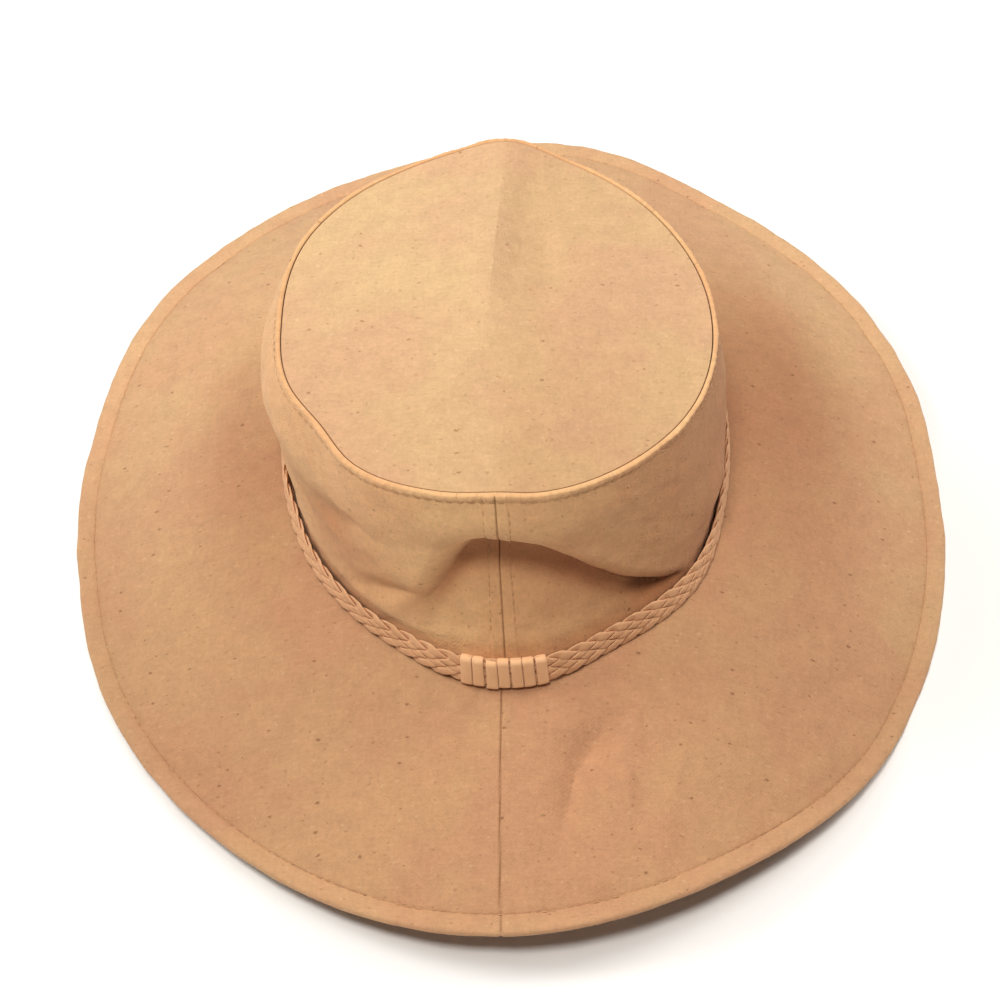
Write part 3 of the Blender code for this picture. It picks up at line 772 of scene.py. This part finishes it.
def stitch_mesh(name, starts, ends, middles, normals):
    """Short threads: each a tube along a parabola through its start, middle and end, closed by points."""
    share = np.linspace(0, 1, STITCH_RINGS)[None, :, None]
    line = starts[:, None] * (1 - share) * (1 - 2 * share) + ends[:, None] * share * (2 * share - 1)
    line = line + middles[:, None] * 4 * share * (1 - share)
    along = ends - starts
    along = along / np.linalg.norm(along, axis=-1, keepdims=True)
    side = np.cross(along, normals)
    side = side / np.linalg.norm(side, axis=-1, keepdims=True)
    rise = np.cross(side, along)
    taper = np.sqrt(np.clip(1 - (2 * np.linspace(0.08, 0.92, STITCH_RINGS) - 1) ** 4, 0, 1))
    angle = 2 * np.pi * np.arange(STITCH_SIDES) / STITCH_SIDES
    ring = side[:, None] * np.cos(angle)[None, :, None] + rise[:, None] * np.sin(angle)[None, :, None]
    body = line[:, :, None] + THREAD_RADIUS * taper[None, :, None, None] * ring[:, None]
    count = len(starts)
    beyond = along * THREAD_RADIUS * 0.6
    caps = np.stack([line[:, 0] - beyond, line[:, -1] + beyond], axis=1)
    points = np.concatenate([body.reshape(count, -1, 3), caps], axis=1)
    offsets = (np.arange(count) * points.shape[1])[:, None, None]
    quads = grid_faces(STITCH_RINGS, STITCH_SIDES, False)[None] + offsets
    fans = end_fans(STITCH_RINGS, STITCH_SIDES)[None] + offsets
    mesh = fill_mesh(name, points.reshape(-1, 3), quads.reshape(-1, 4), fans.reshape(-1, 3))
    turn_outwards(mesh)
    return mesh


def turn_outwards(mesh):
    """Turns every face of a mesh round if the mesh encloses a negative volume."""
    mesh.calc_loop_triangles()
    corners = np.zeros(len(mesh.loop_triangles) * 3, dtype=np.int32)
    mesh.loop_triangles.foreach_get("vertices", corners)
    a, b, c = np.moveaxis(mesh_points(mesh).astype(float)[corners.reshape(-1, 3)], 1, 0)
    if np.sum(a * np.cross(b, c)) < 0:
        mesh.flip_normals()


def run_of_stitches(name, path, normals, closed, finish):
    """Stitches along a path of points: each starts and ends sunk in the cloth and stands proud between."""
    if closed:
        path = np.concatenate([path, path[:1]])
        normals = np.concatenate([normals, normals[:1]])
    steps = np.linalg.norm(np.diff(path, axis=0), axis=-1)
    place = np.concatenate([[0], np.cumsum(steps)])
    count = int(round(place[-1] / (STITCH_LENGTH + STITCH_GAP)))
    pitch = place[-1] / count
    begin = np.arange(count) * pitch + STITCH_GAP / 2

    def at(values, distance):
        return np.stack([np.interp(distance, place, values[:, axis]) for axis in range(3)], axis=-1)

    length = pitch - STITCH_GAP
    square = at(normals, begin + length / 2)
    starts = at(path, begin) - square * STITCH_SUNK
    ends = at(path, begin + length) - square * STITCH_SUNK
    middles = at(path, begin + length / 2) + square * STITCH_PROUD
    return add_piece(name, stitch_mesh(name, starts, ends, middles, square), finish)


def make_stitches(finish):
    """The topstitching: a ring inside the rim, a ring on the tip's ridge and two lines on the wall."""
    bearings = np.linspace(0, 360, 1440, endpoint=False)
    reach = 1 - HEM_WIDTH / BRIM_WIDTH
    turns, steps = grids(bearings, [reach + 0.002, reach, reach - 0.002])
    under = brim(turns, steps)
    normal = facing(under)[1]
    ring = under[1] + normal * (BRIM_CLOTH + brim_skin(bearings, steps[1], 1.0)[..., None]) - plan_middle()
    pieces = [run_of_stitches("brim_hem_stitches", ring, normal, True, finish)]
    level = 1 - TIP_STITCH_DROP / CROWN_HEIGHT
    turns, levels = grids(bearings, [level - 0.01, level, level + 0.01])
    inner = wall(turns, levels)
    normal = facing(inner)[1]
    ring = inner[1] + normal * (CROWN_CLOTH + wall_skin(bearings, levels[1])[:, None]) - plan_middle()
    pieces.append(run_of_stitches("tip_seam_stitches", ring, normal, True, finish))
    for side, name in ((-1, "wall_stitches_left"), (1, "wall_stitches_right")):
        turn = SEAM_BEARING + side * np.degrees(WALL_STITCH_OFFSET / WALL_RADIUS)
        rises = np.linspace(0.2, 0.94, 200)
        levels, turns = np.meshgrid(rises, [turn - 0.4, turn, turn + 0.4], indexing="ij")
        turns = turns + wall_seam_shift(levels)
        inner = wall(turns, levels)
        square = np.cross(inner[:, 2] - inner[:, 0], np.gradient(inner[:, 1], axis=0))
        square = square / np.linalg.norm(square, axis=-1, keepdims=True)
        skin = wall_skin(turns[:, 1], levels[:, 1])
        line = inner[:, 1] + square * (CROWN_CLOTH + skin[:, None]) - plan_middle()
        pieces.append(run_of_stitches(name, line, square, False, finish))
    return pieces


def plait_bearings():
    """Distances along the plait's middle line, and the bearings there, from the front seam round."""
    bearings = SEAM_BEARING + np.linspace(0, 360, 2881)
    middle = np.full(bearings.shape, (PLAIT_WIDTH - PLAIT_THICKNESS) / 2)
    line = plait(bearings, middle, 0 * bearings)
    steps = np.linalg.norm(np.diff(line, axis=0), axis=-1)
    return np.concatenate([[0], np.cumsum(steps)]), bearings


def strand_side(crossing):
    """Over (1) or under (-1) at each crossing of a strand, with quick turns between.

    The strand meets the others at crossings 1 to 4 on its way up and 6 to 9 on its way down, over and
    under by turns, and rounds the plait's edges at 0 and 5.
    """
    stops = np.array([-1, 1, 2, 3, 4, 6, 7, 8, 9, 11])
    turns = np.pi * (np.arange(-1, 9) + 0.5)
    wave = np.sin(np.interp(crossing, stops, turns))
    return wave / np.sqrt(wave**2 + 0.20) * np.sqrt(1.20)


def flat_section(sides, width, thickness, end_power, face_power):
    """Distances across and through a flat rounded section: powers of the cosine and the sine of an angle."""
    cosine = np.cos(2 * np.pi * np.arange(sides) / sides)
    sine = np.sin(2 * np.pi * np.arange(sides) / sides)
    across = width / 2 * np.sign(cosine) * np.abs(cosine) ** end_power
    through = thickness / 2 * np.sign(sine) * np.abs(sine) ** face_power
    return across, through


def make_plait(finish):
    """Five flat strands: each zigzags across the band in a rounded triangle wave, over and under."""
    distances, bearings = plait_bearings()
    total = distances[-1]
    period = total / PLAIT_PERIODS
    steps = np.arange(PLAIT_PERIODS * STRAND_STEPS) / STRAND_STEPS
    edge = STRAND_WIDTH / 2 / np.cos(STRAND_LEAN)
    low = -PLAIT_THICKNESS / 2 + edge
    span = PLAIT_WIDTH + PLAIT_RAISED - 2 * edge
    across, thick = flat_section(STRAND_SIDES, STRAND_WIDTH, STRAND_THICKNESS, 0.55, 0.75)
    round_strand = 2 * np.pi * np.arange(STRAND_SIDES + 1) / STRAND_SIDES * 0.0007
    all_points = []
    all_faces = []
    shades = []
    patterns = []
    for strand in range(STRANDS):
        phase = (steps + strand / STRANDS) % 1
        zigzag = np.arcsin(STRAND_CORNER * np.cos(2 * np.pi * phase)) / np.arcsin(STRAND_CORNER)
        place = steps * period
        height = low + span * (0.5 - 0.5 * zigzag)
        climb = np.arctan((np.roll(height, -1) - np.roll(height, 1)) / (2 * period / STRAND_STEPS))
        shift = 2.5 * np.cos(climb) / span - 5 * np.abs(np.sin(climb)) / period
        shift = shift * np.clip(np.sin(climb) / np.sin(STRAND_LEAN), -1, 1)
        crossing = 10 * phase[:, None] + shift[:, None] * across[None]
        out = STRAND_LIFT * strand_side(crossing) + thick[None]
        along = place[:, None] - np.sin(climb)[:, None] * across[None]
        up = height[:, None] + np.cos(climb)[:, None] * across[None]
        turn = np.interp(along % total, distances, bearings)
        points = plait(turn, up, out + PLAIT_PROUD) - plan_middle()
        all_faces.append(grid_faces(len(steps), STRAND_SIDES, True) + strand * points.shape[0] * STRAND_SIDES)
        all_points.append(points.reshape(-1, 3))
        shades.append(np.broadcast_to(np.abs(across) / (STRAND_WIDTH / 2), points.shape[:2]).ravel() ** 4)
        pattern = corner_pattern(round_strand + strand * 0.05, np.append(place, total))
        patterns.append(pattern.reshape(-1, 2))
    mesh = fill_mesh("plait", np.concatenate(all_points), np.concatenate(all_faces))
    add_pattern(mesh, np.concatenate(patterns))
    add_values(mesh, "wear", np.concatenate(shades))
    turn_outwards(mesh)
    return add_piece("plait_strands", mesh, finish, ["plait_band"])


def band_outline(share, out):
    """Up and out distances at a share of the way round the strands' round-ended section."""
    length = PLAIT_WIDTH - PLAIT_THICKNESS
    radius = STRAND_LIFT + STRAND_THICKNESS / 2 + out
    arc = np.pi * radius
    place = (share % 1) * (2 * length + 2 * arc)
    up = np.select(
        [place < length, place < length + arc, place < 2 * length + arc],
        [place, length + radius * np.sin((place - length) / radius), 2 * length + arc - place],
        -radius * np.sin((place - 2 * length - arc) / radius),
    )
    away = np.select(
        [place < length, place < length + arc, place < 2 * length + arc],
        [radius + 0 * place, radius * np.cos((place - length) / radius), -radius + 0 * place],
        -radius * np.cos((place - 2 * length - arc) / radius),
    )
    return up, away


def make_lace(finish):
    """The flat lace wound round the plait's joint: upright turns in front, stepping along at the back."""
    turns = np.linspace(0.62, LACE_TURNS + 0.56, LACE_TURNS * WRAP_STEPS + 1)
    whole = np.floor(turns)
    stepped = whole + np.clip((turns - whole - 0.60) / 0.36, 0, 1)
    place = WRAP_STEP * (stepped - LACE_TURNS / 2 - 0.5)
    stray = np.array(WRAP_STRAYS)[np.round(turns).astype(int)]
    across, thick = flat_section(WRAP_SIDES, WRAP_WIDTH, WRAP_THICKNESS, 0.6, 0.7)
    lift = WRAP_LIFT + thick[None] + 0.6 * np.abs(stray)[:, None]
    up, away = band_outline(turns[:, None] + 0 * thick[None] + 0.02, lift)
    up = up - 0.0007 * swell((stepped - 3) / 0.7)[:, None]
    lean = 0.0009 * (up / PLAIT_WIDTH - 0.5)
    bearing = front_bearing(place[:, None] + across[None] + stray[:, None] - lean)
    points = plait(bearing, up, away + PLAIT_PROUD) - plan_middle()
    ends = np.stack([points[0].mean(axis=0), points[-1].mean(axis=0)])
    size = points.shape[:2]
    points = np.concatenate([points.reshape(-1, 3), ends])
    mesh = fill_mesh("lace", points, grid_faces(*size, False), end_fans(*size))
    worn = np.broadcast_to(np.abs(across) / (0.0039 / 2), size).ravel() ** 4
    add_values(mesh, "wear", np.append(worn, [0, 0]))
    mesh.uv_layers.new(name="weave")
    turn_outwards(mesh)
    return add_piece("keeper_lace_wound", mesh, finish, ["keeper_lace"])


class Nodes:
    """A material's nodes, made and linked in one call each."""

    def __init__(self, name):
        self.material = bpy.data.materials.new(name)
        self.material.use_nodes = True
        self.tree = self.material.node_tree
        self.shader = self.tree.nodes["Principled BSDF"]

    def add(self, kind, inputs=None, **settings):
        """A node with its settings; inputs are values, or the sockets they come from."""
        node = self.tree.nodes.new(kind)
        for key, value in settings.items():
            setattr(node, key, value)
        for key, value in (inputs or {}).items():
            self.give(node.inputs[key], value)
        return node

    def give(self, socket, value):
        """A value for a socket, or a link to it."""
        if isinstance(value, bpy.types.NodeSocket):
            self.tree.links.new(value, socket)
        else:
            socket.default_value = value

    def sum(self, operation, *values):
        """The result of a Math node."""
        return self.add("ShaderNodeMath", dict(enumerate(values)), operation=operation).outputs[0]

    def attribute(self, name):
        """A number that the mesh carries."""
        return self.add("ShaderNodeAttribute", attribute_name=name).outputs["Fac"]

    def place(self):
        """A point's place in the piece."""
        return self.add("ShaderNodeTexCoord").outputs["Object"]

    def bump(self, height, strength, distance):
        """Fine relief from a height."""
        inputs = {"Height": height, "Strength": strength, "Distance": distance}
        self.finish(Normal=self.add("ShaderNodeBump", inputs).outputs[0])

    def finish(self, **inputs):
        """Values or links for the shader's own sockets."""
        for key, value in inputs.items():
            self.give(self.shader.inputs[key.replace("_", " ")], value)

    def ramp(self, value, low, high, floor=0.0, ceiling=1.0):
        """A value mapped smoothly from low..high to floor..ceiling."""
        inputs = {"Value": value, "From Min": low, "From Max": high, "To Min": floor, "To Max": ceiling}
        return self.add("ShaderNodeMapRange", inputs, interpolation_type="SMOOTHSTEP").outputs[0]

    def noise(self, vector, scale, stretch=(1, 1, 1), detail=2.0, roughness=0.5):
        """Noise from 0 to 1 in a stretched pattern."""
        moved = self.add("ShaderNodeMapping", {"Vector": vector, "Scale": stretch}).outputs[0]
        inputs = {"Vector": moved, "Scale": scale, "Detail": detail, "Roughness": roughness}
        return self.add("ShaderNodeTexNoise", inputs).outputs[0]

    def blend(self, share, first, second, kind="MIX"):
        """Two colours mixed by a share."""
        node = self.add("ShaderNodeMix", data_type="RGBA", blend_type=kind)
        self.give(node.inputs[0], share)
        self.give(node.inputs[6], first)
        self.give(node.inputs[7], second)
        return node.outputs[2]


def cotton(name, colour, warm, deep):
    """Heavy plain-woven cotton: threads, slubs, flecks, mottling, painted shade along seams, in gaps and on
    shaded sides, and paler worn edges.
    """
    n = Nodes(name)
    weave = n.add("ShaderNodeUVMap", uv_map="weave").outputs[0]
    place = n.place()
    weft = n.noise(weave, 1.0, (160, 950, 1), 3.0, 0.6)
    warp = n.noise(weave, 1.0, (900, 140, 1), 3.0, 0.6)
    mottle = n.noise(place, 22.0, (1, 1, 1), 4.0, 0.6)
    patch = n.noise(place, 150.0, (1, 1, 1), 4.0, 0.7)
    nap = n.noise(weave, 620.0, (1, 1, 1), 3.0, 0.7)
    grain = n.noise(weave, 1500.0, (1, 1, 1), 2.0, 0.6)
    tint = n.blend(n.ramp(mottle, 0.38, 0.62), colour, warm)
    streak = n.sum("ADD", n.ramp(weft, 0.25, 0.75, -0.5, 0.5), n.ramp(warp, 0.25, 0.75, -0.35, 0.35))
    streak = n.sum("ADD", streak, n.ramp(patch, 0.3, 0.7, -0.9, 0.9))
    streak = n.sum("ADD", streak, n.ramp(nap, 0.25, 0.75, -1.1, 1.1))
    light = n.sum("MULTIPLY_ADD", streak, 0.055, 1.0)
    light = n.add("ShaderNodeCombineColor", {0: light, 1: light, 2: light}).outputs[0]
    tint = n.blend(1.0, tint, light, "MULTIPLY")
    drift = n.add("ShaderNodeTexNoise", {"Vector": weave, "Scale": 900.0, "Detail": 2.0}).outputs["Color"]
    inputs = {0: drift, 1: (0.0014, 0.0014, 0), 2: weave}
    shaken = n.add("ShaderNodeVectorMath", inputs, operation="MULTIPLY_ADD").outputs[0]
    # Flecks: cells in a metre, shift, size in cells, share of cells left plain, colour and strength
    for scale, shift, size, share, fleck, strength in (
        (100.0, 0.0, 0.070, 0.62, deep, 0.60),
        (210.0, 3.7, 0.120, 0.50, deep, 0.30),
        (260.0, 7.3, 0.180, 0.66, PALE_FLECK, 0.16),
    ):
        inputs = {"Vector": shaken, "Location": (shift, shift, 0), "Scale": (0.62, 1, 1)}
        moved = n.add("ShaderNodeMapping", inputs).outputs[0]
        inputs = {"Vector": moved, "Scale": scale, "Randomness": 1.0}
        cell = n.add("ShaderNodeTexVoronoi", inputs, voronoi_dimensions="2D")
        chance = n.add("ShaderNodeSeparateColor", {0: cell.outputs["Color"]})
        chosen = n.sum("GREATER_THAN", chance.outputs[0], share)
        reach = n.ramp(chance.outputs[1], 0.0, 1.0, size * 0.45, size)
        near = n.ramp(n.sum("DIVIDE", cell.outputs["Distance"], reach), 1.0, 0.35)
        tint = n.blend(n.sum("MULTIPLY", n.sum("MULTIPLY", near, chosen), strength), tint, fleck)
    # Painted shade in the deep colour along seam grooves, in the gap behind the plait and at the tip's edge
    tint = n.blend(n.sum("MULTIPLY", n.attribute("seam"), 0.75), tint, deep)
    tint = n.blend(n.sum("MULTIPLY", n.attribute("wear"), 0.05), tint, WORN_COTTON)
    # Painted shade multiplied in: in the dent, on shaded sides, towards the front and beside the crown
    tint = n.blend(n.attribute("painted_shade"), tint, PAINTED_SHADE, "MULTIPLY")
    wobble = n.noise(weave, 1.0, (180, 180, 1), 2.0, 0.5)
    split = n.add("ShaderNodeSeparateXYZ", {0: weave})
    waves_of = []
    for axis in (0, 1):
        moved = n.sum("MULTIPLY_ADD", wobble, THREAD_PITCH * 2.2, split.outputs[axis])
        waves_of.append(n.sum("SINE", n.sum("MULTIPLY", moved, np.pi / THREAD_PITCH)))
    checks = n.sum("MULTIPLY", waves_of[0], waves_of[1])
    height = n.sum("MULTIPLY", weft, 0.45)
    for relief, strength in ((checks, 0.08), (warp, 0.35), (nap, 1.0), (patch, 0.8), (grain, 0.5)):
        height = n.sum("MULTIPLY_ADD", relief, strength, height)
    n.bump(height, 0.6, 0.00045)
    n.finish(Base_Color=tint, Roughness=n.ramp(grain, 0.2, 0.8, 0.84, 0.97), Specular_IOR_Level=0.25)
    n.finish(Sheen_Weight=0.18, Sheen_Roughness=0.5, Sheen_Tint=(1.0, 0.86, 0.68, 1))
    return n.material


def leather(name, colour, deep):
    """Matt tan leather: fine grain, soft mottling and paler worn edges."""
    n = Nodes(name)
    place = n.place()
    mottle = n.noise(place, 160.0, (1, 1, 1), 3.0, 0.6)
    grain = n.noise(place, 2600.0, (1, 1, 1), 3.0, 0.6)
    inputs = {"Vector": place, "Scale": 1500.0}
    cell = n.add("ShaderNodeTexVoronoi", inputs, feature="DISTANCE_TO_EDGE").outputs["Distance"]
    tint = n.blend(n.ramp(mottle, 0.3, 0.7), colour, deep)
    tint = n.blend(n.sum("MULTIPLY", n.attribute("wear"), 0.25), tint, WORN_LEATHER)
    n.bump(n.sum("MULTIPLY_ADD", n.ramp(cell, 0.0, 0.12), 0.4, grain), 0.4, 0.0001)
    n.finish(Base_Color=tint, Roughness=n.ramp(grain, 0.3, 0.7, 0.55, 0.72))
    n.finish(Sheen_Weight=0.1, Specular_IOR_Level=0.35)
    return n.material


def sewing_thread(name, colour):
    """Matt spun thread with a fine twist."""
    n = Nodes(name)
    place = n.place()
    twist = n.noise(place, 1800.0, (1, 1, 1), 2.0, 0.5)
    tint = n.blend(n.ramp(twist, 0.3, 0.7), colour, tuple(0.8 * c for c in colour[:3]) + (1,))
    n.bump(twist, 0.4, 0.0001)
    n.finish(Base_Color=tint, Roughness=n.ramp(twist, 0.2, 0.8, 0.7, 0.85))
    return n.material


def pale_floor():
    """A plain pale floor with a faint unevenness."""
    n = Nodes("pale_floor")
    place = n.place()
    cloud = n.noise(place, 3.0, (1, 1, 1), 2.0, 0.5)
    tint = n.blend(n.ramp(cloud, 0.3, 0.7), (0.94, 0.955, 0.97, 1), (0.95, 0.965, 0.98, 1))
    n.finish(Base_Color=tint, Roughness=0.9)
    return n.material


def make_floor():
    """The floor: one large square a hair below the hat."""
    corners = np.array([(-4, -4, -0.0002), (4, -4, -0.0002), (4, 4, -0.0002), (-4, 4, -0.0002)])
    mesh = fill_mesh("floor", corners, np.array([[0, 1, 2, 3]]))
    mesh.materials.append(pale_floor())
    floor = bpy.data.objects.new("floor", mesh)
    bpy.context.scene.collection.objects.link(floor)


def aim(place, target):
    """Turn that points an object's -Z axis from its place to a target."""
    away = Vector(place) - Vector(target)
    return away.to_track_quat("Z", "Y").to_euler()


def make_lights():
    """Soft panels: one on each side, a wide one overhead, a smaller one high in front, and a faint sky."""
    for name, place, size, power, colour in (
        ("left_panel", (-1.20, 0.20, 1.10), 0.7, 11, (1.0, 1.0, 0.95)),
        ("right_panel", (1.10, 0.50, 1.10), 0.7, 9, (1.0, 0.92, 0.84)),
        ("high_panel", (0.0, 0.10, 1.70), 1.4, 10, (1.0, 0.99, 0.96)),
        ("front_panel", (-0.20, -0.62, 1.75), 0.35, 16, (1.0, 0.94, 0.86)),
    ):
        light = bpy.data.lights.new(name, "AREA")
        light.shape = "DISK"
        light.size = size
        light.energy = power
        light.color = colour
        lamp = bpy.data.objects.new(name, light)
        lamp.location = place
        lamp.rotation_euler = aim(place, (0, 0, 0.04))
        bpy.context.scene.collection.objects.link(lamp)
    world = bpy.data.worlds.new("pale_sky")
    bpy.context.scene.world = world
    world.use_nodes = True
    world.node_tree.nodes["Background"].inputs[0].default_value = (1.0, 0.93, 0.87, 1)
    world.node_tree.nodes["Background"].inputs[1].default_value = 0.09


def make_camera():
    """The camera at the photograph's angle."""
    turn = np.radians(CAMERA_TURN)
    roll = np.radians(CAMERA_ROLL)
    forward = np.array([0, np.cos(turn), -np.sin(turn)])
    up = np.array([0, np.sin(turn), np.cos(turn)])
    right = np.array([1.0, 0, 0])
    rolled_right = np.cos(roll) * right + np.sin(roll) * up
    rolled_up = np.cos(roll) * up - np.sin(roll) * right
    data = bpy.data.cameras.new("camera")
    data.lens = CAMERA_LENS
    data.sensor_width = 36
    camera = bpy.data.objects.new("camera", data)
    bpy.context.scene.collection.objects.link(camera)
    matrix = np.eye(4)
    matrix[:3, 0] = rolled_right
    matrix[:3, 1] = rolled_up
    matrix[:3, 2] = -forward
    matrix[:3, 3] = CAMERA_PLACE
    camera.matrix_world = Matrix(matrix.tolist())
    bpy.context.scene.camera = camera


def main():
    """The camera, the lights, the floor and the hat's pieces."""
    make_camera()
    make_lights()
    make_floor()
    wall_piece = make_crown_wall(cotton("wall_cotton", *WALL_COLOURS))
    tip_piece = make_crown_tip(cotton("tip_cotton", *TIP_COLOURS))
    brim_piece = make_brim(cotton("brim_cotton", *BRIM_COLOURS))
    hem, ridge, left, right = make_stitches(sewing_thread("tan_thread", THREAD_COLOUR))
    make_plait(leather("plait_leather", *PLAIT_COLOURS))
    make_lace(leather("lace_leather", *LACE_COLOURS))


main()
bpy.context.scene.view_settings.view_transform = "Standard"
